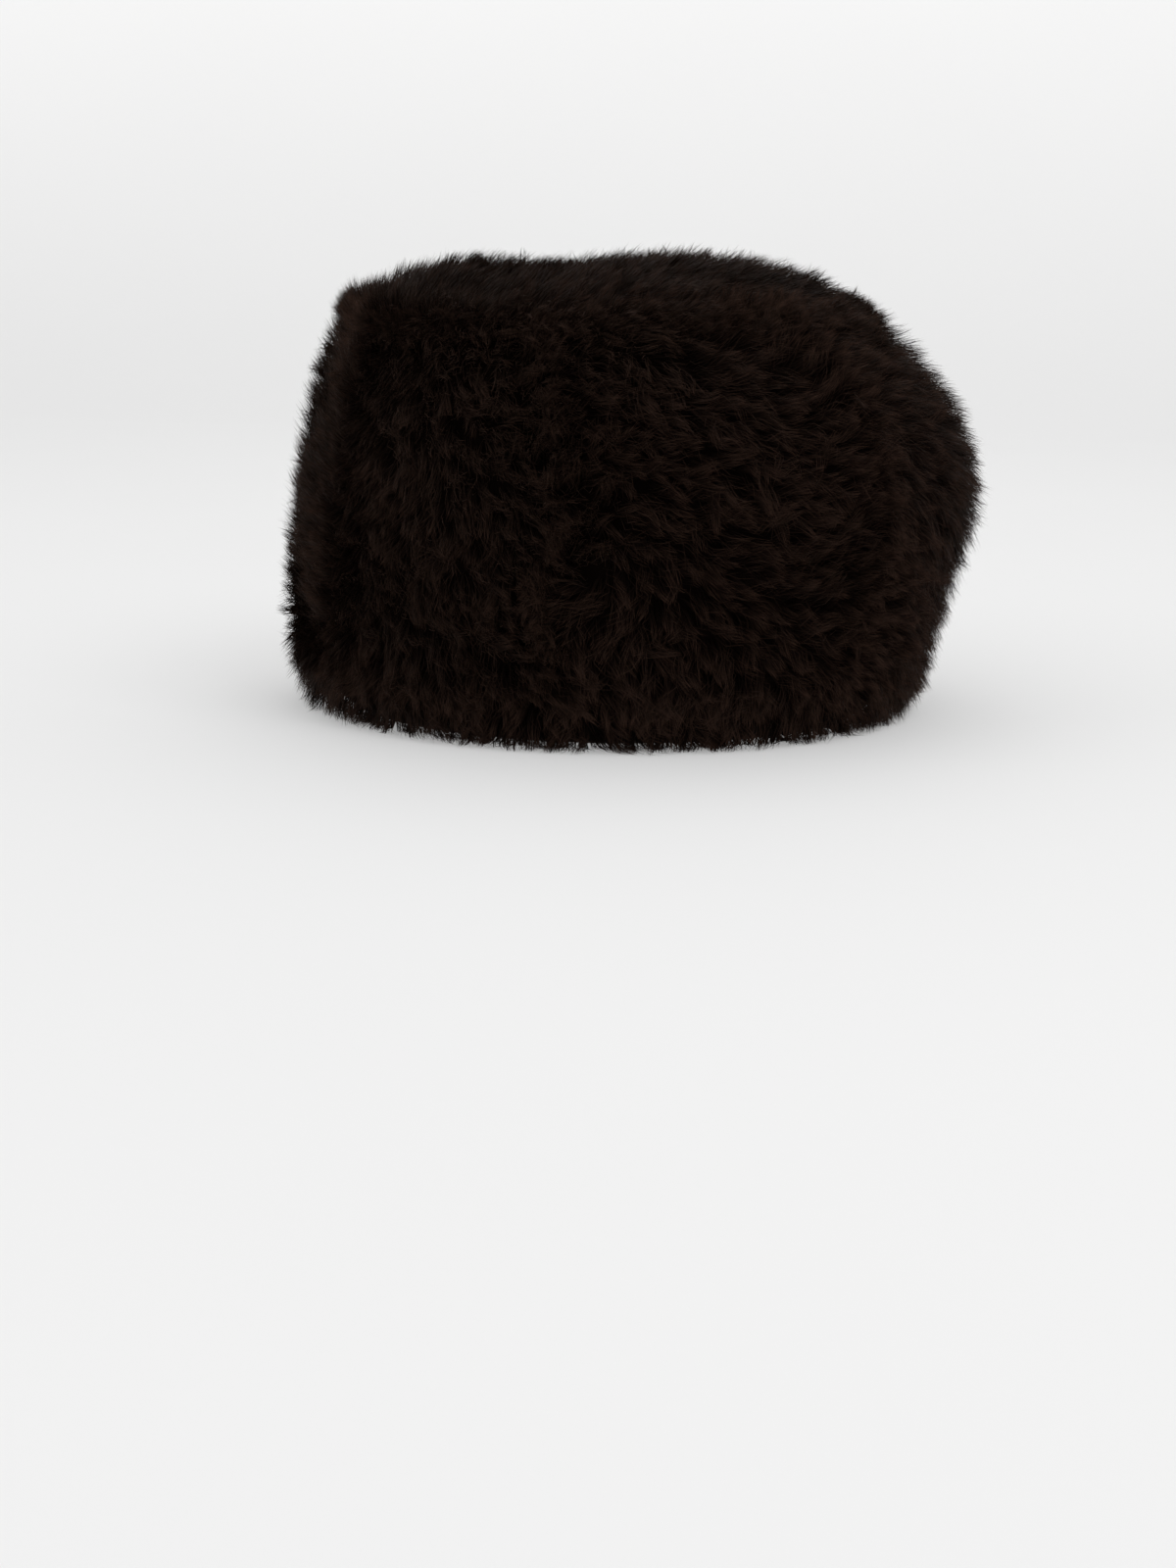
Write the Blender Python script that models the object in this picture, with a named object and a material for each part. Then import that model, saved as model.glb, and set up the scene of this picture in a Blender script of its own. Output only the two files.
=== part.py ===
# A round drum hat of dark brown sheepskin: six side pelts with turned-in rims, a crown pelt and an inner cap.
# The hat stands on its rim, +X is its front, +Y its wearer's left and +Z up.

import math

import bmesh
import bpy

MM = 0.001

# Driving dimensions, in millimetres. The outer sizes are those of the fur tips.
RIM_HEIGHT = 27.0
SEAM_HEIGHT = 168.0
CROWN_RISE = 26.0
HIDE_DEPTH = 28.0
CAP_WALL = 2.0
GAP = 0.3
CAP_CLEARANCE = 0.4
MOUTH_HALF_LENGTH = 102.0
MOUTH_HALF_WIDTH = 84.0

# Locks of fur: their length along the comb, their width across it and their relief
LOCK_LENGTH = 34.0
LOCK_WIDTH = 26.0
LOCK_RELIEF = 5.0
SEAM_GROOVE = 3.5
SEAM_REACH = 12.0
MEAN_RADIUS = 135.0

# A soft dent runs across the crown, a little behind its middle
DENT_X = -22.0
DENT_REACH = 30.0
DENT_DEPTH = 5.0

# The outer form at each height: how far it reaches back, forward and to each side
SECTION_COLUMNS = ("height", "back", "front", "half_width")
SECTIONS = (
    (0.0, 127.0, 127.0, 108.0),
    (10.0, 136.0, 137.0, 117.0),
    (30.0, 140.0, 144.0, 121.0),
    (60.0, 139.0, 153.0, 126.0),
    (95.0, 135.0, 161.0, 130.0),
    (125.0, 128.0, 152.0, 129.0),
    (150.0, 119.0, 131.0, 123.0),
    (168.0, 110.0, 108.0, 112.0),
)

# The sides between their seams, as angles from the front, and how each pelt is combed.
# Each side has its pelt, its turned-in rim below it and its panel of the cap behind it.
SIDE_COLUMNS = ("side", "from_angle", "to_angle", "comb_angle")
SIDES = (
    ("front", -34.5, 34.5, -70.0),
    ("left_front", 34.5, 90.0, -160.0),
    ("left_rear", 90.0, 132.0, -140.0),
    ("back", 132.0, 228.0, 80.0),
    ("right_rear", 228.0, 270.0, -40.0),
    ("right_front", 270.0, 325.5, -20.0),
)

# The rim's section: how far each point lies from the mouth (0) out to the fur's edge (1), and its height
RIM_COLUMNS = ("spread", "height")
RIM_PROFILE = (
    (0.20, 0.0),
    (0.90, 0.0),
    (0.97, 4.0),
    (1.00, 12.0),
    (1.00, RIM_HEIGHT - GAP),
    (0.00, RIM_HEIGHT - GAP),
    (0.00, 12.0),
    (0.07, 3.5),
)
RIM_COMB = -60.0

# The crown's rings, from its middle to its edge
CROWN_RINGS = (0.22, 0.42, 0.6, 0.75, 0.87, 0.95, 1.0)
CROWN_COMB = 170.0

DEGREES_PER_COLUMN = 4.4
CAP_DEGREES_PER_COLUMN = 7.0
PELT_ROWS = 14
CAP_SIDES = 48
CAP_ROWS = 5
CROWN_SIDES = 48

MATERIAL_COLUMNS = ("name", "colour", "roughness")
FUR = ("brown_sheepskin", (0.012, 0.0075, 0.006, 1.0), 0.9)
CROWN_FUR = ("brown_crown_sheepskin", (0.018, 0.011, 0.008, 1.0), 0.9)
RIM_FUR = ("brown_rim_sheepskin", (0.016, 0.010, 0.008, 1.0), 0.9)
CAP_CLOTH = ("dark_inner_cloth", (0.008, 0.006, 0.005, 1.0), 0.95)


def clear_scene():
    for thing in list(bpy.data.objects):
        bpy.data.objects.remove(thing, do_unlink=True)


def section_at(height):
    # Cubic interpolation through the section table, so the wall curves smoothly
    last = len(SECTIONS) - 1
    index = 0
    while index < last - 1 and height > SECTIONS[index + 1][0]:
        index += 1
    before = SECTIONS[max(index - 1, 0)]
    low = SECTIONS[index]
    high = SECTIONS[index + 1]
    after = SECTIONS[min(index + 2, last)]
    span = high[0] - low[0]
    t = min(max((height - low[0]) / span, 0.0), 1.0)
    values = []
    for column in range(1, len(SECTION_COLUMNS)):
        slope_low = (high[column] - before[column]) / (high[0] - before[0]) * span
        slope_high = (after[column] - low[column]) / (after[0] - low[0]) * span
        value = (2 * t**3 - 3 * t**2 + 1) * low[column] + (t**3 - 2 * t**2 + t) * slope_low
        value += (3 * t**2 - 2 * t**3) * high[column] + (t**3 - t**2) * slope_high
        values.append(value)
    return values


def wall_point(angle, height, inset):
    back, front, half_width = section_at(height)
    half_length = (front + back) / 2
    x = (front - back) / 2 + (half_length - inset) * math.cos(angle)
    y = (half_width - inset) * math.sin(angle)
    return (x, y, height)


def lock_inset(along, up, comb_degrees):
    # Locks lie in staggered rows: each rises from its root to a blunt tip, and is round across
    comb = math.radians(comb_degrees)
    run = along * math.cos(comb) + up * math.sin(comb)
    across = up * math.cos(comb) - along * math.sin(comb)
    row = math.floor(across / LOCK_WIDTH)
    run += LOCK_LENGTH / 2 * (row % 2) + 5.0 * math.sin(row * 2.4)
    tip = (run / LOCK_LENGTH) % 1.0
    crown = abs(math.sin(math.pi * across / LOCK_WIDTH)) ** 0.7
    return LOCK_RELIEF * (1.0 - crown * tip**0.8)


def seam_inset(distance):
    return SEAM_GROOVE * max(0.0, 1.0 - distance / SEAM_REACH)


def grid_faces(rows, columns, start, flip):
    faces = []
    for row in range(rows):
        for column in range(columns):
            a = start + row * (columns + 1) + column
            b = a + columns + 1
            face = (a, a + 1, b + 1, b)
            faces.append(face[::-1] if flip else face)
    return faces


def make_material(look):
    name, colour, roughness = look
    material = bpy.data.materials.new(name)
    material.use_nodes = True
    shader = material.node_tree.nodes["Principled BSDF"]
    shader.inputs["Base Color"].default_value = colour
    shader.inputs["Roughness"].default_value = roughness
    shader.inputs["Metallic"].default_value = 0.0
    return material


def make_solid(name, points, faces, look, collection):
    mesh = bpy.data.meshes.new(name)
    mesh.from_pydata([tuple(value * MM for value in point) for point in points], [], faces)
    shape = bmesh.new()
    shape.from_mesh(mesh)
    many_sided = [face for face in shape.faces if len(face.verts) > 4]
    bmesh.ops.triangulate(shape, faces=many_sided)
    bmesh.ops.recalc_face_normals(shape, faces=shape.faces)
    shape.to_mesh(mesh)
    shape.free()
    mesh.shade_smooth()
    mesh.set_sharp_from_angle(angle=math.radians(50))
    mesh.materials.append(make_material(look))
    solid = bpy.data.objects.new(name, mesh)
    collection.objects.link(solid)
    return solid


def arc_angles(row, degrees_per_column):
    # The angles of one side's columns, with half the seam's gap left at each end
    side, from_angle, to_angle, comb = row
    columns = round((to_angle - from_angle) / degrees_per_column)
    half_gap = math.degrees(GAP / (MEAN_RADIUS - HIDE_DEPTH)) / 2 + 0.05
    start = math.radians(from_angle + half_gap)
    end = math.radians(to_angle - half_gap)
    return [start + (end - start) * column / columns for column in range(columns + 1)]


def make_panel(name, outer, inner, rows, look, collection):
    # A closed panel between an outer and an inner grid of points
    columns = len(outer) // (rows + 1) - 1
    count = len(outer)
    faces = grid_faces(rows, columns, 0, False)
    faces += grid_faces(rows, columns, count, True)
    for column in range(columns):
        for base in (0, rows * (columns + 1)):
            a = base + column
            faces.append((a, a + 1, count + a + 1, count + a))
    for level in range(rows):
        for side in (0, columns):
            a = level * (columns + 1) + side
            b = a + columns + 1
            faces.append((a, b, count + b, count + a))
    return make_solid(name, outer + inner, faces, look, collection)


def make_pelt(row, collection):
    side, from_angle, to_angle, comb = row
    angles = arc_angles(row, DEGREES_PER_COLUMN)
    outer = []
    inner = []
    for level in range(PELT_ROWS + 1):
        height = RIM_HEIGHT + (SEAM_HEIGHT - RIM_HEIGHT) * level / PELT_ROWS
        for angle in angles:
            edge = min(angle - angles[0], angles[-1] - angle) * MEAN_RADIUS
            inset = lock_inset(angle * MEAN_RADIUS, height, comb) + seam_inset(edge)
            inset += seam_inset(SEAM_HEIGHT - height)
            outer.append(wall_point(angle, height, inset))
            inner.append(wall_point(angle, height, HIDE_DEPTH))
    return make_panel(side + "_pelt", outer, inner, PELT_ROWS, FUR, collection)


def make_cap_panel(row, collection):
    side = row[0]
    angles = arc_angles(row, CAP_DEGREES_PER_COLUMN)
    top = SEAM_HEIGHT - CAP_WALL - 2 * GAP
    outer = []
    inner = []
    for level in range(CAP_ROWS + 1):
        height = RIM_HEIGHT + (top - RIM_HEIGHT) * level / CAP_ROWS
        for angle in angles:
            outer.append(wall_point(angle, height, HIDE_DEPTH + CAP_CLEARANCE))
            inner.append(wall_point(angle, height, HIDE_DEPTH + CAP_CLEARANCE + CAP_WALL))
    return make_panel(side + "_cap_panel", outer, inner, CAP_ROWS, CAP_CLOTH, collection)


def make_cap_top(collection):
    top = SEAM_HEIGHT - GAP / 2
    points = []
    for height in (top - CAP_WALL, top):
        for side in range(CAP_SIDES):
            angle = math.tau * side / CAP_SIDES
            x, y, level = wall_point(angle, SEAM_HEIGHT, HIDE_DEPTH + CAP_CLEARANCE)
            points.append((x, y, height))
    faces = [tuple(range(CAP_SIDES)), tuple(range(CAP_SIDES, 2 * CAP_SIDES))]
    for side in range(CAP_SIDES):
        following = (side + 1) % CAP_SIDES
        faces.append((side, following, CAP_SIDES + following, CAP_SIDES + side))
    return make_solid("cap_top", points, faces, CAP_CLOTH, collection)


def make_rim(row, collection):
    # One side's turned-in edge: its profile swept round the arc, and closed at both ends
    side = row[0]
    angles = arc_angles(row, DEGREES_PER_COLUMN)
    points = []
    for angle in angles:
        for spread, height in RIM_PROFILE:
            inset = 0.0
            if spread > 0.5 and height > 0.0:
                inset = lock_inset(angle * MEAN_RADIUS, height, RIM_COMB)
            outside = wall_point(angle, height, inset)
            mouth = (MOUTH_HALF_LENGTH * math.cos(angle), MOUTH_HALF_WIDTH * math.sin(angle))
            x = mouth[0] + (outside[0] - mouth[0]) * spread
            y = mouth[1] + (outside[1] - mouth[1]) * spread
            points.append((x, y, height))
    sides = len(RIM_PROFILE)
    faces = []
    for column in range(len(angles) - 1):
        near = column * sides
        far = near + sides
        for place in range(sides):
            following = (place + 1) % sides
            faces.append((near + place, near + following, far + following, far + place))
    for base in (0, (len(angles) - 1) * sides):
        for low in range(sides // 2 - 1):
            a, b = base + low, base + low + 1
            c, d = base + (sides - low - 2), base + (sides - low - 1) % sides
            faces.append((a, b, c))
            faces.append((a, c, d))
    return make_solid(side + "_rim", points, faces, RIM_FUR, collection)


def crown_height(x, ring):
    dome = CROWN_RISE * (1.0 - ring**3.2) ** 0.62
    dent = DENT_DEPTH * math.exp(-(((x - DENT_X) / DENT_REACH) ** 2)) * (1.0 - ring**2)
    return dome - dent


def make_crown(collection):
    base = SEAM_HEIGHT + GAP
    back, front, half_width = section_at(SEAM_HEIGHT)
    middle = (front - back) / 2
    half_length = (front + back) / 2
    points = [(middle, 0.0, base + crown_height(middle, 0.0) - LOCK_RELIEF / 2)]
    for ring in CROWN_RINGS:
        for side in range(CROWN_SIDES):
            angle = math.tau * side / CROWN_SIDES
            edge_inset = SEAM_GROOVE * ring**8
            x = middle + (half_length - edge_inset) * ring * math.cos(angle)
            y = (half_width - edge_inset) * ring * math.sin(angle)
            relief = lock_inset(x, y, CROWN_COMB) * (1.0 - ring**4)
            points.append((x, y, base + max(crown_height(x, ring) - relief, 0.0)))
    faces = []
    for side in range(CROWN_SIDES):
        faces.append((0, 1 + side, 1 + (side + 1) % CROWN_SIDES))
    for ring in range(len(CROWN_RINGS) - 1):
        low = 1 + ring * CROWN_SIDES
        high = low + CROWN_SIDES
        for side in range(CROWN_SIDES):
            following = (side + 1) % CROWN_SIDES
            faces.append((low + side, high + side, high + following, low + following))
    edge = 1 + (len(CROWN_RINGS) - 1) * CROWN_SIDES
    faces.append(tuple(range(edge, edge + CROWN_SIDES)))
    return make_solid("crown_pelt", points, faces, CROWN_FUR, collection)


def centre_on_origin(solids):
    # The hat's origin is the middle of its box, on the surface that it stands on
    corners = [vertex.co for solid in solids for vertex in solid.data.vertices]
    shift_x = (min(c.x for c in corners) + max(c.x for c in corners)) / 2
    shift_y = (min(c.y for c in corners) + max(c.y for c in corners)) / 2
    for solid in solids:
        for vertex in solid.data.vertices:
            vertex.co.x -= shift_x
            vertex.co.y -= shift_y


def main():
    clear_scene()
    collection = bpy.data.collections.new("sheepskin_hat")
    bpy.context.scene.collection.children.link(collection)
    solids = []
    for row in SIDES:
        solids.append(make_pelt(row, collection))
        solids.append(make_rim(row, collection))
        solids.append(make_cap_panel(row, collection))
    solids.append(make_cap_top(collection))
    solids.append(make_crown(collection))
    centre_on_origin(solids)


main()
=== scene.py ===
import math

import bpy
import numpy as np
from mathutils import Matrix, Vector
from mathutils.kdtree import KDTree


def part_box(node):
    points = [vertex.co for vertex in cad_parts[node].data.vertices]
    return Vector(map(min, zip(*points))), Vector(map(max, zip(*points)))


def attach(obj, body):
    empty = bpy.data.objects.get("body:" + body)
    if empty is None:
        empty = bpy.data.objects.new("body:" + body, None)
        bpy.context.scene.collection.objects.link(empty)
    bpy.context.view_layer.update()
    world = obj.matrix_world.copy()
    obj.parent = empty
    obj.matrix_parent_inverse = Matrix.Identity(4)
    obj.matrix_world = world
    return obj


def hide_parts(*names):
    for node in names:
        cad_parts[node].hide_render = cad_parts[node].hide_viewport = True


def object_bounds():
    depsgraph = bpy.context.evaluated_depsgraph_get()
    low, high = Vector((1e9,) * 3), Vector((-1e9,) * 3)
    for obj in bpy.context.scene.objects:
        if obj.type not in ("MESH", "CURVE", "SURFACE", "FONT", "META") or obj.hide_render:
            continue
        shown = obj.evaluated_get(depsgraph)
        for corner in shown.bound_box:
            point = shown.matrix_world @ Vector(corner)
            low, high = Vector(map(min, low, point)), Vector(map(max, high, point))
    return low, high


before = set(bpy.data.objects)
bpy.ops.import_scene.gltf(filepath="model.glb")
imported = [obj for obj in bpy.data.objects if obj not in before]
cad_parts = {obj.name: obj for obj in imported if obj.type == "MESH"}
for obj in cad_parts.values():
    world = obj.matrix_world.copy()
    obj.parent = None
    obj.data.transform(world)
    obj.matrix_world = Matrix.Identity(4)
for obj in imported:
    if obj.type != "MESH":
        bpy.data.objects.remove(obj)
cadLow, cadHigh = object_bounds()
mm = 0.001

# The hat's form, in millimetres, as the solids have it: how far it reaches at each height
sectionHeights = np.array([0.0, 10.0, 30.0, 60.0, 95.0, 125.0, 150.0, 168.0])
sectionColumns = {
    "back": np.array([127.0, 136.0, 140.0, 139.0, 135.0, 128.0, 119.0, 110.0]),
    "front": np.array([127.0, 137.0, 144.0, 153.0, 161.0, 152.0, 131.0, 108.0]),
    "halfWidth": np.array([108.0, 117.0, 121.0, 126.0, 130.0, 129.0, 123.0, 112.0]),
}
rimHeight = 27.0
seamHeight = 168.0
meanRadius = 135.0
readingStep = 0.5  # half the distance over which a surface's directions are read
crownForm = {"rise": 26.0, "fullness": 3.2, "shoulder": 0.62, "edge": 0.9995,
             "dentDepth": 5.0, "dentX": -22.0, "dentWidth": 30.0}
crownHalfLength = (sectionColumns["front"][-1] + sectionColumns["back"][-1]) / 2
crownHalfWidth = sectionColumns["halfWidth"][-1]
crownMiddleX = (sectionColumns["front"][-1] - sectionColumns["back"][-1]) / 2

# The solids stand centred on their box, so the form is moved by as much
crownLow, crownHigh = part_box("crown_pelt")
shiftX = crownMiddleX - (crownLow.x + crownHigh.x) / 2 / mm
shiftY = -(crownLow.y + crownHigh.y) / 2 / mm


def columnAt(name, heights):
    # Cubic interpolation through one column of the section table
    values = sectionColumns[name]
    last = len(values) - 1
    index = np.clip(np.searchsorted(sectionHeights, heights, side="right") - 1, 0, last - 1)
    before = np.maximum(index - 1, 0)
    after = np.minimum(index + 2, last)
    lowHeight = sectionHeights[index]
    highHeight = sectionHeights[index + 1]
    span = highHeight - lowHeight
    t = np.clip((heights - lowHeight) / span, 0.0, 1.0)
    slopeLow = (values[index + 1] - values[before]) / (highHeight - sectionHeights[before]) * span
    slopeHigh = (values[after] - values[index]) / (sectionHeights[after] - lowHeight) * span
    result = (2 * t**3 - 3 * t**2 + 1) * values[index] + (t**3 - 2 * t**2 + t) * slopeLow
    return result + (3 * t**2 - 2 * t**3) * values[index + 1] + (t**3 - t**2) * slopeHigh


def wallPoints(angles, heights, inset):
    # Points of the side wall, set in from the fur's outer form
    back = columnAt("back", heights)
    front = columnAt("front", heights)
    halfWidth = columnAt("halfWidth", heights)
    x = (front - back) / 2 + ((front + back) / 2 - inset) * np.cos(angles)
    y = (halfWidth - inset) * np.sin(angles)
    return np.stack([x, y, heights], axis=-1)


def crownPoints(x, y):
    # The crown's skin over a point of its plan, with the soft dent across it
    ring = np.sqrt(((x - crownMiddleX) / crownHalfLength) ** 2 + (y / crownHalfWidth) ** 2)
    ring = np.clip(ring, 0.0, crownForm["edge"])
    dome = crownForm["rise"] * (1.0 - ring ** crownForm["fullness"]) ** crownForm["shoulder"]
    fromDent = (x - crownForm["dentX"]) / crownForm["dentWidth"]
    dent = crownForm["dentDepth"] * np.exp(-(fromDent**2)) * (1.0 - ring**2)
    return np.stack([x, y, seamHeight + dome - dent], axis=-1)


def unit(vectors):
    return vectors / np.maximum(np.linalg.norm(vectors, axis=-1, keepdims=True), 1e-9)


def wallFrame(angles, heights):
    # Outward normal, and the surface's directions towards the left and up, at points of the wall
    turn = readingStep / meanRadius
    along = unit(wallPoints(angles + turn, heights, 0.0) - wallPoints(angles - turn, heights, 0.0))
    low = np.maximum(heights - readingStep, 0.0)
    high = np.minimum(heights + readingStep, seamHeight)
    up = unit(wallPoints(angles, high, 0.0) - wallPoints(angles, low, 0.0))
    return unit(np.cross(along, up)), along, up


def crownFrame(x, y):
    # Outward normal, and the surface's directions towards the front and the left, on the crown
    alongX = unit(crownPoints(x + readingStep, y) - crownPoints(x - readingStep, y))
    alongY = unit(crownPoints(x, y + readingStep) - crownPoints(x, y - readingStep))
    return unit(np.cross(alongX, alongY)), alongX, alongY


class Node:
    # Wraps one socket, so that shader maths can be written as expressions
    def __init__(self, tree, socket):
        self.tree = tree
        self.socket = socket

    def combine(self, operation, first, second):
        made = self.tree.nodes.new("ShaderNodeMath")
        made.operation = operation
        for place, value in enumerate((first, second)):
            if isinstance(value, Node):
                self.tree.links.new(value.socket, made.inputs[place])
            else:
                made.inputs[place].default_value = value
        return Node(self.tree, made.outputs[0])

    def __add__(self, other):
        return self.combine("ADD", self, other)

    def __radd__(self, other):
        return self.combine("ADD", other, self)

    def __sub__(self, other):
        return self.combine("SUBTRACT", self, other)

    def __rsub__(self, other):
        return self.combine("SUBTRACT", other, self)

    def __mul__(self, other):
        return self.combine("MULTIPLY", self, other)

    def __rmul__(self, other):
        return self.combine("MULTIPLY", other, self)

    def __pow__(self, other):
        return self.combine("POWER", self, other)


class Material:
    # A Principled material whose nodes are added one call at a time
    def __init__(self, name):
        self.material = bpy.data.materials.new(name)
        self.material.use_nodes = True
        self.tree = self.material.node_tree
        self.shader = self.tree.nodes["Principled BSDF"]

    def node(self, kind, output=0, settings=None, inputs=None):
        made = self.tree.nodes.new(kind)
        for key, value in (settings or {}).items():
            setattr(made, key, value)
        for key, value in (inputs or {}).items():
            if isinstance(value, Node):
                self.tree.links.new(value.socket, made.inputs[key])
            else:
                made.inputs[key].default_value = value
        return Node(self.tree, made.outputs[output])

    def mix(self, factor, first, second):
        inputs = {"Factor": factor, 6: first, 7: second}
        return self.node("ShaderNodeMix", 2, {"data_type": "RGBA"}, inputs)

    def finish(self, links, constants):
        for key, value in links.items():
            self.tree.links.new(value.socket, self.shader.inputs[key])
        for key, value in constants.items():
            self.shader.inputs[key].default_value = value
        return self.material


furLook = {
    "root": (0.0006, 0.00035, 0.0003, 1.0),
    "darkTip": (0.0028, 0.0016, 0.0012, 1.0),
    "paleTip": (0.0225, 0.0140, 0.0108, 1.0),
    # The edge colour is painted backlight: the last of a tip turns paler, as if light shone through the hair
    # at the outline
    "edge": (0.085, 0.046, 0.032, 1.0),  # the last of a tip, which shows at the outline
    "backlitShare": 0.7,
    "backlitPower": 6.0,
    "glint": (0.9, 0.56, 0.42, 1.0),
    "glintLevel": 0.03,
    "sheenTint": (0.5, 0.3, 0.22, 1.0),
    "sheenWeight": 0.07,
    "sheenRoughness": 0.45,
    "roughness": 0.44,
    "streakScale": 40.0,
}


def makeFurMaterial():
    # The UV map holds each hair's own shade across and its root to tip up
    fur = Material("brown_fur")
    uv = fur.node("ShaderNodeUVMap", 0, {"uv_map": "OFBake"})
    shade = fur.node("ShaderNodeSeparateXYZ", 0, None, {0: uv})
    height = fur.node("ShaderNodeSeparateXYZ", 1, None, {0: uv})
    streakInputs = {"Vector": uv, "Scale": furLook["streakScale"], "Detail": 2.0}
    streak = fur.node("ShaderNodeTexNoise", 0, None, streakInputs)
    tone = shade * 0.85 + streak * 0.3 - 0.07
    tip = fur.mix(tone**1.6, furLook["darkTip"], furLook["paleTip"])
    colour = fur.mix(height**1.3, furLook["root"], tip)
    # Painted backlight: the last of each tip takes the pale edge colour
    colour = fur.mix(furLook["backlitShare"] * height ** furLook["backlitPower"], colour, furLook["edge"])
    roughness = furLook["roughness"] + 0.15 * streak + 0.4 * (1.0 - height) ** 3.0
    links = {"Base Color": colour, "Roughness": roughness}
    constants = {
        "Specular IOR Level": furLook["glintLevel"],
        "Specular Tint": furLook["glint"],
        "Sheen Weight": furLook["sheenWeight"],
        "Sheen Tint": furLook["sheenTint"],
        "Sheen Roughness": furLook["sheenRoughness"],
    }
    return fur.finish(links, constants)


clothLook = {"dark": (0.006, 0.0045, 0.004, 1.0), "pale": (0.022, 0.017, 0.014, 1.0),
             "weaveScale": 900.0, "stainScale": 14.0, "relief": 0.0005, "roughness": 0.8}


def makeClothMaterial():
    cloth = Material("inner_cloth")
    place = cloth.node("ShaderNodeTexCoord", 3)
    weaveInputs = {"Vector": place, "Scale": clothLook["weaveScale"], "Detail": 3.0}
    weave = cloth.node("ShaderNodeTexNoise", 0, None, weaveInputs)
    stainInputs = {"Vector": place, "Scale": clothLook["stainScale"], "Detail": 4.0}
    stain = cloth.node("ShaderNodeTexNoise", 0, None, stainInputs)
    colour = cloth.mix(0.6 * stain + 0.4 * weave, clothLook["dark"], clothLook["pale"])
    bumpInputs = {"Height": weave, "Strength": 0.4, "Distance": clothLook["relief"]}
    bump = cloth.node("ShaderNodeBump", 0, None, bumpInputs)
    roughness = clothLook["roughness"] + 0.15 * weave
    return cloth.finish({"Base Color": colour, "Normal": bump, "Roughness": roughness}, {})


levels = 4  # points along a hair, the last one its tip
floorGap = 0.3  # how far above the floor the lowest fur stays
mapMargin = 0.02  # the shade map keeps this far from its edges
mapSpan = 0.96

# How single hairs and clumps differ from their pelt's values, as shares of them
hairForm = {
    "lengths": (0.75, 1.1),
    "lifts": (0.6, 1.4),
    "widths": (0.7, 1.3),
    "steepest": 1.5,
    "dip": 0.6,  # how far a bent hair turns back to the skin
    "closingPower": 1.3,
    "twist": 0.35,
    "taper": 0.72,
    "shade": 0.13,
}
clumpForm = {"lengths": (0.65, 1.3), "lifts": (0.5, 1.7), "steepest": 1.45, "comb": 0.65, "shade": 0.12}
wispForm = {"lift": 0.3, "curl": 0.9, "apart": 0.85, "shade": 0.16}  # what sets the loose hairs apart


def strandArrays(hairs, look, generator, clumps):
    # Hairs rise from their roots, lean over along the comb and close into the points of their clumps
    roots = hairs["roots"]
    normals = hairs["normals"]
    combs = hairs["combs"]
    wispy = hairs["wispy"]
    count = len(roots)
    lengths = look["length"] * generator.uniform(*hairForm["lengths"], count)
    lift = look["lift"] * generator.uniform(*hairForm["lifts"], count) * hairs["upright"]
    lift = np.minimum(lift * (1.0 + wispForm["lift"] * wispy), hairForm["steepest"])
    rise = unit(normals * np.sin(lift)[:, None] + combs * np.cos(lift)[:, None])
    side = unit(np.cross(combs, normals))
    phase = generator.uniform(0.0, math.tau, count)[:, None]
    together = (1.0 - wispForm["apart"] * wispy)[:, None]
    curl = look["curl"] * (1.0 + wispForm["curl"] * wispy)[:, None]
    clumpOf = clumps["of"]
    path = []
    for level in range(levels):
        share = level / (levels - 1)
        bend = share**2 * look["bend"]
        free = roots + (rise * share + (combs - normals * hairForm["dip"]) * bend) * lengths[:, None]
        wave = np.sin(share * look["waves"] + clumps["phase"][clumpOf][:, None] + phase * 0.15)
        free = free + side * wave * curl * share
        closing = look["closing"] * together * share ** hairForm["closingPower"]
        path.append(free * (1.0 - closing) + clumps["tips"][clumpOf] * closing)
    flat = unit(side + hairForm["twist"] * generator.normal(size=(count, 3)))
    halfWidths = look["width"] / 2 * generator.uniform(*hairForm["widths"], count)[:, None]
    points = []
    for level in range(levels - 1):
        taper = 1.0 - hairForm["taper"] * level / (levels - 1)
        points.append(path[level] - flat * halfWidths * taper)
        points.append(path[level] + flat * halfWidths * taper)
    points.append(path[-1])
    return np.stack(points, axis=1)


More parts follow.
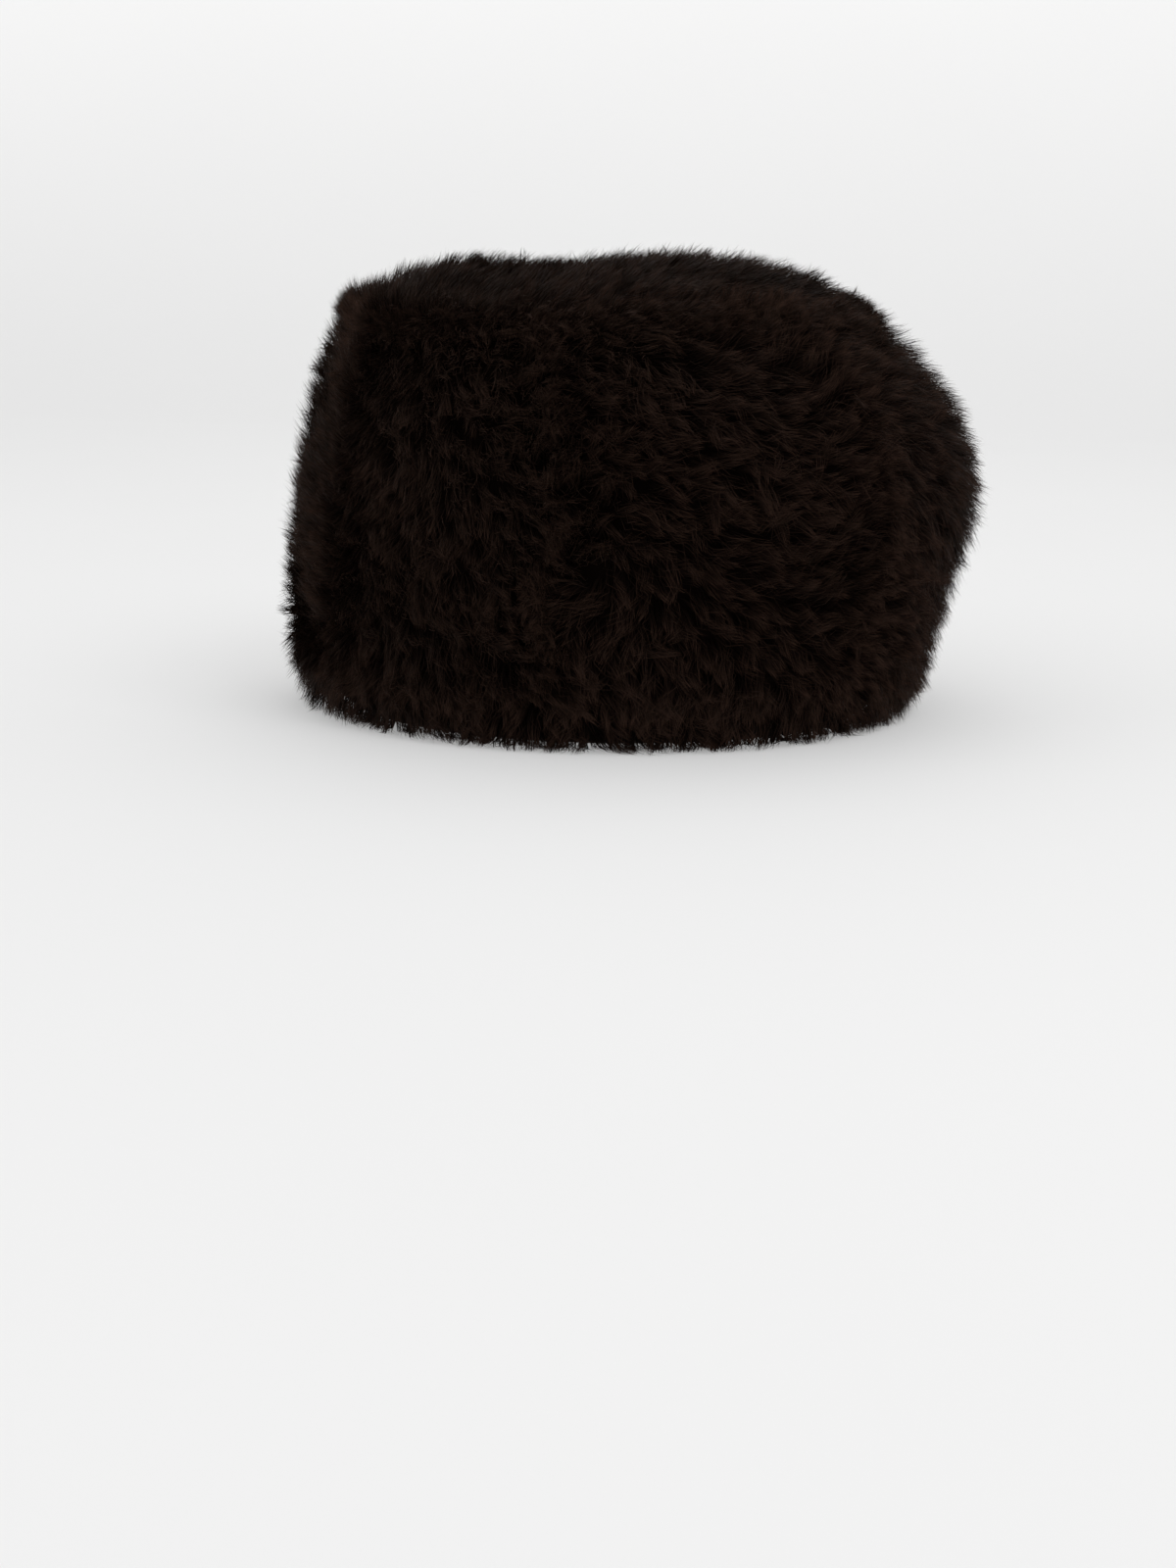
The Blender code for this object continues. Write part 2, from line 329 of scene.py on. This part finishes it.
def furMesh(name, strands, shades, backing, material):
    # One mesh of a woolly backing and its hairs, with the shade map that the fur's colour reads
    count = len(strands)
    perStrand = strands.shape[1]
    strandPoints = strands.reshape(-1, 3)
    gridPoints, gridFaces = backing
    points = np.concatenate([strandPoints, gridPoints])
    points = (points - np.array([shiftX, shiftY, 0.0])) * mm
    points[:, 2] = np.maximum(points[:, 2], floorGap * mm)
    first = np.arange(count)[:, None] * perStrand
    quads = []
    for level in range(levels - 2):
        quads.append(first + np.array([0, 1, 3, 2]) + 2 * level)
    quads = np.concatenate(quads)
    tips = first + np.array([0, 1, 2]) + 2 * (levels - 2)
    quads = np.concatenate([quads, gridFaces + len(strandPoints)])
    corners = np.concatenate([quads.ravel(), tips.ravel()])
    starts = np.concatenate([np.arange(len(quads)) * 4, len(quads) * 4 + np.arange(len(tips)) * 3])
    mesh = bpy.data.meshes.new(name)
    mesh.vertices.add(len(points))
    mesh.vertices.foreach_set("co", points.astype(np.float32).ravel())
    mesh.loops.add(len(corners))
    mesh.loops.foreach_set("vertex_index", corners.astype(np.int32))
    mesh.polygons.add(len(starts))
    mesh.polygons.foreach_set("loop_start", starts.astype(np.int32))
    mesh.update(calc_edges=True)
    mesh.validate()
    across = np.tile(np.array([0.0, 1.0] * (levels - 1) + [0.5]), count) * 0.004
    strandU = np.repeat(np.clip(shades, 0.0, 1.0) * mapSpan + mapMargin, perStrand) + across
    climb = np.append(np.repeat(np.arange(levels - 1) / (levels - 1), 2), 1.0)
    strandV = np.tile(climb, count) * mapSpan + mapMargin
    gridU = 0.3 + 0.4 * (gridPoints[:, 0] * 0.013 % 1.0)
    gridV = 0.03 + 0.03 * (gridPoints[:, 2] * 0.05 % 1.0)
    vertexUv = np.stack([np.concatenate([strandU, gridU]), np.concatenate([strandV, gridV])], axis=-1)
    uvMap = mesh.uv_layers.new(name="OFBake")
    uvMap.data.foreach_set("uv", vertexUv[corners].astype(np.float32).ravel())
    mesh.materials.append(material)
    mesh.shade_smooth()
    piece = bpy.data.objects.new(name, mesh)
    bpy.context.scene.collection.objects.link(piece)
    return piece


def gridBacking(columns, rows, place):
    # A woolly skin under the hairs, over a grid of shares across and up
    across, up = np.meshgrid(np.linspace(0.0, 1.0, columns + 1), np.linspace(0.0, 1.0, rows + 1))
    points = place(across.ravel(), up.ravel())
    first = (np.arange(rows)[:, None] * (columns + 1) + np.arange(columns)).ravel()[:, None]
    return points, first + np.array([0, 1, columns + 2, columns + 1])


def nearestOf(points, centres):
    tree = KDTree(len(centres))
    for index, centre in enumerate(centres):
        tree.insert(centre, index)
    tree.balance()
    return np.array([tree.find(point)[1] for point in points])


def growFur(name, rules, look, backing, seed, material):
    # Grows one pelt: clumps first, each with its own lean and shade, then the hairs that join them
    generator = np.random.default_rng(seed)
    clumpPlaces = rules["sample"](look["clumps"], generator)
    clumpRoots, clumpNormals, clumpCombs = rules["roots"](clumpPlaces, rules["comb"], look["depth"])
    clumpCount = len(clumpRoots)
    turn = generator.normal(0.0, look["stray"], clumpCount)[:, None]
    clumpCombs = unit(clumpCombs * np.cos(turn) + np.cross(clumpNormals, clumpCombs) * np.sin(turn))
    clumps = {"phase": generator.uniform(0.0, math.tau, clumpCount)}
    lengths = look["length"] * generator.uniform(*clumpForm["lengths"], clumpCount)[:, None]
    lift = look["lift"] * generator.uniform(*clumpForm["lifts"], clumpCount)
    lift = np.minimum(lift * rules["upright"](clumpPlaces), clumpForm["steepest"])[:, None]
    lean = clumpNormals * np.sin(lift) + clumpCombs * np.cos(lift)
    bend = (clumpCombs - clumpNormals * hairForm["dip"]) * look["bend"]
    clumps["tips"] = clumpRoots + lean * lengths + bend * lengths
    places = rules["sample"](look["hairs"], generator)
    roots, normals, combs = rules["roots"](places, rules["comb"], look["depth"])
    clumps["of"] = nearestOf(roots, clumpRoots)
    combs = unit(combs * (1.0 - clumpForm["comb"]) + clumpCombs[clumps["of"]] * clumpForm["comb"])
    hairs = {"roots": roots, "normals": normals, "combs": combs, "upright": rules["upright"](places)}
    hairs["wispy"] = (generator.uniform(0.0, 1.0, len(roots)) < look["loose"]) * 1.0
    strands = strandArrays(hairs, look, generator, clumps)
    shades = rules["shade"](clumpPlaces)[clumps["of"]]
    shades += generator.normal(0.0, hairForm["shade"], len(roots)) + 0.1 * (hairs["upright"] - 1.0)
    shades += wispForm["shade"] * hairs["wispy"]
    shades += generator.normal(0.0, clumpForm["shade"], clumpCount)[clumps["of"]]
    piece = furMesh(name, strands, shades, backing, material)
    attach(piece, "root")
    return piece


# The shares of the hairs that are gathered at the seams, and in how wide a band of them
crowding = {"side": 0.05, "top": 0.09, "foot": 0.04, "acrossBand": 0.05, "upBand": 0.06}


def wallSampler(fromAngle, toAngle, lowHeight, highHeight):
    # Spreads places evenly, with some of them gathered along the seams
    def sample(count, generator):
        share = generator.uniform(0.0, 1.0, count)
        rise = generator.uniform(0.0, 1.0, count)
        kind = generator.uniform(0.0, 1.0, count)
        atStart = kind < crowding["side"]
        atEnd = ~atStart & (kind < 2.0 * crowding["side"])
        atFoot = (kind > 2.0 * crowding["side"]) & (kind < 2.0 * crowding["side"] + crowding["foot"])
        share = np.where(atStart, share * crowding["acrossBand"], share)
        share = np.where(atEnd, 1.0 - share * crowding["acrossBand"], share)
        rise = np.where(kind > 1.0 - crowding["top"], 1.0 - rise * crowding["upBand"], rise)
        rise = np.where(atFoot, rise * crowding["upBand"], rise)
        angles = math.radians(fromAngle) + math.radians(toAngle - fromAngle) * share
        return np.stack([angles, lowHeight + (highHeight - lowHeight) * rise], axis=-1)
    return sample


def wallRoots(places, combOf, depth):
    angles = places[:, 0]
    heights = places[:, 1]
    normals, along, up = wallFrame(angles, heights)
    direction = combOf(angles, heights)[:, None]
    combs = unit(along * np.cos(direction) + up * np.sin(direction))
    return wallPoints(angles, heights, depth), normals, combs


def crownRoots(places, combOf, depth):
    x = places[:, 0]
    y = places[:, 1]
    normals, alongX, alongY = crownFrame(x, y)
    direction = combOf(x, y)[:, None]
    combs = unit(alongX * np.cos(direction) + alongY * np.sin(direction))
    return crownPoints(x, y) - normals * depth, normals, combs


# Each side pelt between its seams: which way it is combed, in degrees from the hat's left, and its tone
pelts = [
    {"name": "front", "from": -34.5, "to": 34.5, "comb": -60.0, "tone": 0.42},
    {"name": "left_front", "from": 34.5, "to": 90.0, "comb": -165.0, "tone": 0.36},
    {"name": "left_rear", "from": 90.0, "to": 132.0, "comb": -140.0, "tone": 0.34},
    {"name": "back", "from": 132.0, "to": 228.0, "comb": 95.0, "tone": 0.5},
    {"name": "right_rear", "from": 228.0, "to": 270.0, "comb": -35.0, "tone": 0.32},
    {"name": "right_front", "from": 270.0, "to": 325.5, "comb": -12.0, "tone": 0.36},
]
wallLook = {"clumps": 1250, "hairs": 26500, "degrees": 69.0, "length": 17.0, "lift": 0.78, "bend": 0.22,
            "closing": 0.55, "loose": 0.26, "waves": 5.0, "curl": 2.3, "width": 0.44, "depth": 9.0,
            "stray": 0.55, "skin": 2.5, "skinRough": 1.6}  # clumps and hairs are those of so many degrees
combSwing = {"along": 0.45, "alongLength": 21.0, "up": 0.4, "upLength": 15.0, "slant": 34.0,
             "droop": 0.5, "droopHeight": 60.0, "lowComb": -78.0, "lowHeight": 44.0, "lowBand": 18.0}
whorl = {"pelt": "right_front", "angle": 278.0, "height": 74.0, "radius": 24.0}
seamStand = {"extra": 0.9, "reach": 7.0}  # how much more upright the fur stands by a seam
lap = {"across": 0.03, "below": 8.0, "under": 1.5, "from": 0.47}  # how the skins pass under each other


def makeSidePelt(pelt, material, seed):
    share = (pelt["to"] - pelt["from"]) / wallLook["degrees"]
    look = dict(wallLook)
    look["clumps"] = round(wallLook["clumps"] * share)
    look["hairs"] = round(wallLook["hairs"] * share)

    def combOf(angles, heights):
        along = angles * meanRadius
        swing = combSwing["along"] * np.sin(along / combSwing["alongLength"] + seed)
        swing += combSwing["up"] * np.sin(heights / combSwing["upLength"] + along / combSwing["slant"])
        droop = np.clip((combSwing["droopHeight"] - heights) / combSwing["droopHeight"], 0.0, 1.0)
        direction = math.radians(pelt["comb"]) + swing
        direction = direction - combSwing["droop"] * droop * math.cos(math.radians(pelt["comb"]))
        low = np.clip((combSwing["lowHeight"] - heights) / combSwing["lowBand"], 0.0, 1.0)
        direction = direction * (1.0 - low) + (math.radians(combSwing["lowComb"]) + swing) * low
        if pelt["name"] == whorl["pelt"]:
            across = (angles - math.radians(whorl["angle"])) * meanRadius
            above = heights - whorl["height"]
            near = np.exp(-(across**2 + above**2) / whorl["radius"] ** 2)
            direction = direction * (1.0 - near) + (np.arctan2(above, across) - math.pi / 2) * near
        return direction

    def shadeOf(places):
        angles = places[:, 0]
        heights = places[:, 1]
        wave = 0.1 * np.sin(angles * 6.3 + heights / 19.0)
        # Paler towards the top, as painted highlight, and towards the foot, as painted backlight at the
        # outline
        high = 0.12 * np.clip((heights - 100.0) / 60.0, 0.0, 1.0)
        low = 0.1 * np.clip((60.0 - heights) / 40.0, 0.0, 1.0)
        return pelt["tone"] + wave + high + low

    def uprightOf(places):
        fromStart = (places[:, 0] - math.radians(pelt["from"])) * meanRadius
        fromEnd = (math.radians(pelt["to"]) - places[:, 0]) * meanRadius
        fromSeam = np.minimum(np.minimum(fromStart, fromEnd), seamHeight - places[:, 1])
        return 1.0 + seamStand["extra"] * np.exp(-np.maximum(fromSeam, 0.0) / seamStand["reach"])

    def place(across, up):
        # Reaches a little under its neighbours and the rolled edge
        lapped = (1.0 + lap["across"]) * across - lap["across"] / 2
        angles = math.radians(pelt["from"]) + math.radians(pelt["to"] - pelt["from"]) * lapped
        low = rimHeight - lap["below"]
        heights = low + (seamHeight - low) * up
        rough = wallLook["skinRough"] * np.sin(angles * 46.0 + heights * 0.21) * np.cos(heights * 0.37)
        edge = np.clip((np.abs(across - 0.5) - lap["from"]) / (0.5 - lap["from"]), 0.0, 1.0)
        return wallPoints(angles, heights, wallLook["depth"] - wallLook["skin"] + rough + lap["under"] * edge)

    sample = wallSampler(pelt["from"] - 0.4, pelt["to"] + 0.4, rimHeight - 2.0, seamHeight)
    rules = {"sample": sample, "roots": wallRoots, "comb": combOf, "shade": shadeOf, "upright": uprightOf}
    backing = gridBacking(round(40 * share), 44, place)
    name = pelt["name"] + "_pelt"
    piece = growFur(name + "_fur", rules, look, backing, seed, material)
    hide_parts(name)
    print("made", piece.name)


crownLook = {"clumps": 1700, "hairs": 28000, "length": 15.0, "lift": 0.74, "bend": 0.22, "closing": 0.55,
             "loose": 0.26, "waves": 4.6, "curl": 2.1, "width": 0.44, "depth": 8.0, "stray": 0.55,
             "skin": 2.5, "seed": 71}
crownEdge = {"share": 0.24, "band": 0.07, "extra": 0.5, "skirt": 7.0, "skirtBand": 0.07}


def makeCrown(material):
    def sample(count, generator):
        ring = np.sqrt(generator.uniform(0.0, 1.0, count)) * 0.995
        edge = generator.uniform(0.0, 1.0, count)
        atEdge = crownForm["edge"] - crownEdge["band"] * (edge / crownEdge["share"]) ** 2
        ring = np.where(edge < crownEdge["share"], atEdge, ring)
        angles = generator.uniform(0.0, math.tau, count)
        x = crownMiddleX + crownHalfLength * ring * np.cos(angles)
        return np.stack([x, crownHalfWidth * ring * np.sin(angles)], axis=-1)

    def combOf(x, y):
        return 0.35 * np.sin(x / 23.0) + 0.35 * np.sin(y / 19.0 + x / 40.0)

    def shadeOf(places):
        return 0.5 + 0.1 * np.sin(places[:, 0] / 17.0) + 0.08 * np.sin(places[:, 1] / 13.0)

    def uprightOf(places):
        ring = np.hypot((places[:, 0] - crownMiddleX) / crownHalfLength, places[:, 1] / crownHalfWidth)
        fromSeam = np.maximum(1.0 - ring, 0.0) * meanRadius
        return 1.0 + crownEdge["extra"] * np.exp(-fromSeam / seamStand["reach"])

    def place(across, up):
        # Rings of the dome, with a skirt that goes down inside the side pelts
        ring = 0.02 + 0.975 * up
        x = crownMiddleX + crownHalfLength * ring * np.cos(across * math.tau)
        y = crownHalfWidth * ring * np.sin(across * math.tau)
        points = crownPoints(x, y) - crownFrame(x, y)[0] * (crownLook["depth"] - crownLook["skin"])
        band = crownEdge["skirtBand"]
        points[:, 2] -= crownEdge["skirt"] * np.clip((up - (1.0 - band)) / band, 0.0, 1.0)
        return points

    rules = {"sample": sample, "roots": crownRoots, "comb": combOf, "shade": shadeOf, "upright": uprightOf}
    points, faces = gridBacking(72, 24, place)
    backing = (points, faces[:, ::-1])
    piece = growFur("crown_pelt_fur", rules, crownLook, backing, crownLook["seed"], material)
    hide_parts("crown_pelt")
    print("made", piece.name)


rimLook = {"clumps": 1150, "hairs": 22000, "length": 16.0, "lift": 0.7, "bend": 0.22, "closing": 0.5,
           "loose": 0.28, "waves": 5.0, "curl": 2.3, "width": 0.44, "depth": 8.0, "stray": 0.6,
           "skin": 3.0, "comb": -78.0, "tone": 0.46, "seed": 83}
rimForm = {"mouthHalfLength": 102.0, "mouthHalfWidth": 84.0, "mouthRise": 13.0, "mouthRound": 1.6,
           "outerRise": 30.0, "outerRound": 1.3, "footSwell": 3.0, "footHeight": 14.0, "lowest": 0.4}


def makeRim(material):
    # The rolled edge: hairs on its outside lean down and out, and lie flat where the hat rests
    def combOf(angles, heights):
        return math.radians(rimLook["comb"]) + 0.5 * np.sin(angles * 9.0) + 0.3 * np.sin(angles * 23.0)

    def shadeOf(places):
        return rimLook["tone"] + 0.12 * np.sin(places[:, 0] * 5.0 + 1.0)

    def uprightOf(places):
        return np.ones(len(places))

    def place(across, up):
        # Down the mouth's side, over the flat foot and up the outside
        angles = across * math.tau
        mouthX = rimForm["mouthHalfLength"] * np.cos(angles)
        mouthY = rimForm["mouthHalfWidth"] * np.sin(angles)
        mouth = np.stack([mouthX, mouthY, 0.0 * angles], axis=-1)
        turn = up * math.pi
        slope = np.abs(np.cos(turn))
        inner = rimForm["mouthRise"] * slope ** rimForm["mouthRound"]
        outer = rimForm["outerRise"] * slope ** rimForm["outerRound"]
        heights = np.where(up < 0.5, inner, outer)
        foot = np.clip((rimForm["footHeight"] - heights) / rimForm["footHeight"], 0.0, 1.0)
        inset = rimLook["depth"] - rimLook["skin"] - rimForm["footSwell"] * foot
        outside = wallPoints(angles, heights, inset)
        spread = (0.5 - 0.5 * np.cos(turn))[:, None]
        points = mouth + (outside - mouth) * spread
        points[:, 2] = np.maximum(heights, rimForm["lowest"])
        return points

    sample = wallSampler(0.0, 360.0, 3.0, rimHeight + 1.0)
    rules = {"sample": sample, "roots": wallRoots, "comb": combOf, "shade": shadeOf, "upright": uprightOf}
    backing = gridBacking(120, 20, place)
    piece = growFur("rolled_rim_fur", rules, rimLook, backing, rimLook["seed"], material)
    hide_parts(*[pelt["name"] + "_rim" for pelt in pelts])
    print("made", piece.name)


def dressCap(material):
    # The cap keeps its solids, and gets its cloth
    for name in ["cap_top"] + [pelt["name"] + "_cap_panel" for pelt in pelts]:
        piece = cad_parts[name]
        piece.data.materials.clear()
        piece.data.materials.append(material)
    print("dressed the cap")


stageLook = {"halfWidth": 5.0, "front": -5.0, "wall": 2.4, "height": 4.0, "curve": 0.9, "segments": 24,
             "floorGlow": 0.30, "wallGlow": 0.485, "climb": 1.6, "paper": 0.5, "grain": 1.03}


def makeStage():
    # A pale paper floor that curves up into the backdrop, and glows a little so that it stays even
    bpy.ops.object.select_all(action="DESELECT")
    bpy.ops.mesh.primitive_plane_add(size=2.0, location=(0.0, 0.0, 0.0))
    floor = bpy.context.object
    floor.name = "floor"
    depth = stageLook["wall"] - stageLook["front"]
    bpy.ops.object.mode_set(mode="EDIT")
    bpy.ops.transform.resize(value=(stageLook["halfWidth"], depth / 2, 1.0))
    bpy.ops.transform.translate(value=(0.0, stageLook["front"] + depth / 2, 0.0))
    bpy.ops.object.mode_set(mode="OBJECT")
    nearWall = stageLook["wall"] - 0.01
    for vertex in floor.data.vertices:
        vertex.select = vertex.co.y > nearWall
    for edge in floor.data.edges:
        edge.select = all(floor.data.vertices[index].select for index in edge.vertices)
    for face in floor.data.polygons:
        face.select = False
    bpy.ops.object.mode_set(mode="EDIT")
    bpy.ops.mesh.select_mode(type="EDGE")
    bpy.ops.mesh.extrude_region_move(TRANSFORM_OT_translate={"value": (0.0, 0.0, stageLook["height"])})
    bpy.ops.object.mode_set(mode="OBJECT")
    cove = floor.modifiers.new("cove", "BEVEL")
    cove.width = stageLook["curve"]
    cove.segments = stageLook["segments"]
    cove.limit_method = "ANGLE"
    bpy.ops.object.modifier_apply(modifier="cove")
    floor.data.shade_smooth()
    paper = Material("pale_paper")
    place = paper.node("ShaderNodeTexCoord", 3)
    height = paper.node("ShaderNodeSeparateXYZ", 2, None, {0: place})
    grain = paper.node("ShaderNodeTexNoise", 0, None, {"Vector": place, "Scale": 3.0, "Detail": 2.0})
    dark = stageLook["paper"]
    pale = dark * stageLook["grain"]
    colour = paper.mix(grain, (dark, dark, dark, 1.0), (pale, pale, pale, 1.0))
    climb = paper.node("ShaderNodeClamp", 0, None, {0: height * stageLook["climb"]})
    low = stageLook["floorGlow"]
    high = stageLook["wallGlow"]
    glow = paper.mix(climb, (low, low, low, 1.0), (high, high, high * 0.995, 1.0))
    links = {"Base Color": colour, "Emission Color": glow}
    floor.data.materials.append(paper.finish(links, {"Roughness": 0.9, "Emission Strength": 1.0}))
    print("made the floor")


skyTone = 0.84
lightAim = Vector((0.0, 0.0, 0.09))
lights = [
    {"name": "key", "place": (0.9, -0.7, 1.3), "size": 0.8, "power": 6.0},
    {"name": "fill", "place": (-1.3, -0.9, 0.8), "size": 1.2, "power": 2.5},
    {"name": "top", "place": (0.0, 0.5, 1.6), "size": 1.0, "power": 2.5},
]


def makeLights():
    world = bpy.data.worlds.new("studio")
    world.use_nodes = True
    world.node_tree.nodes["Background"].inputs[0].default_value = (skyTone, skyTone, skyTone, 1.0)
    bpy.context.scene.world = world
    for row in lights:
        data = bpy.data.lights.new(row["name"], "AREA")
        data.size = row["size"]
        data.energy = row["power"]
        light = bpy.data.objects.new(row["name"], data)
        light.location = row["place"]
        bpy.context.scene.collection.objects.link(light)
        light.rotation_mode = "QUATERNION"
        light.rotation_quaternion = (lightAim - light.location).to_track_quat("-Z", "Y")
    bpy.context.scene.view_settings.view_transform = "Standard"
    print("placed the lights")


# Angles in degrees, the distance in metres, and the rest in the picture's own pixels
cameraView = {"azimuth": 15.0, "elevation": 5.5, "distance": 0.98, "focal": 2280.0,
              "centreX": 640.0, "centreY": 492.0, "width": 1200.0, "height": 1600.0}
film = 36.0


def makeCamera():
    # The hat's middle is placed in the picture by turning the camera, which keeps level
    azimuth = math.radians(cameraView["azimuth"])
    elevation = math.radians(cameraView["elevation"])
    away = np.array([math.sin(azimuth) * math.cos(elevation), -math.cos(azimuth) * math.cos(elevation),
                     math.sin(elevation)])
    middle = (np.array(cadLow) + np.array(cadHigh)) / 2
    data = bpy.data.cameras.new("camera")
    data.lens = cameraView["focal"] / cameraView["height"] * film
    data.sensor_width = film
    camera = bpy.data.objects.new("camera", data)
    bpy.context.scene.collection.objects.link(camera)
    camera.location = middle + away * cameraView["distance"]
    left = math.atan((cameraView["centreX"] - cameraView["width"] / 2) / cameraView["focal"])
    down = math.atan((cameraView["height"] / 2 - cameraView["centreY"]) / cameraView["focal"])
    camera.rotation_euler = (math.pi / 2 - elevation - down, 0.0, azimuth + left)
    bpy.context.scene.camera = camera
    print("placed the camera")


furMaterial = makeFurMaterial()
for number, peltRow in enumerate(pelts):
    makeSidePelt(peltRow, furMaterial, 11 + number)
makeCrown(furMaterial)
makeRim(furMaterial)
dressCap(makeClothMaterial())
makeStage()
makeLights()
makeCamera()
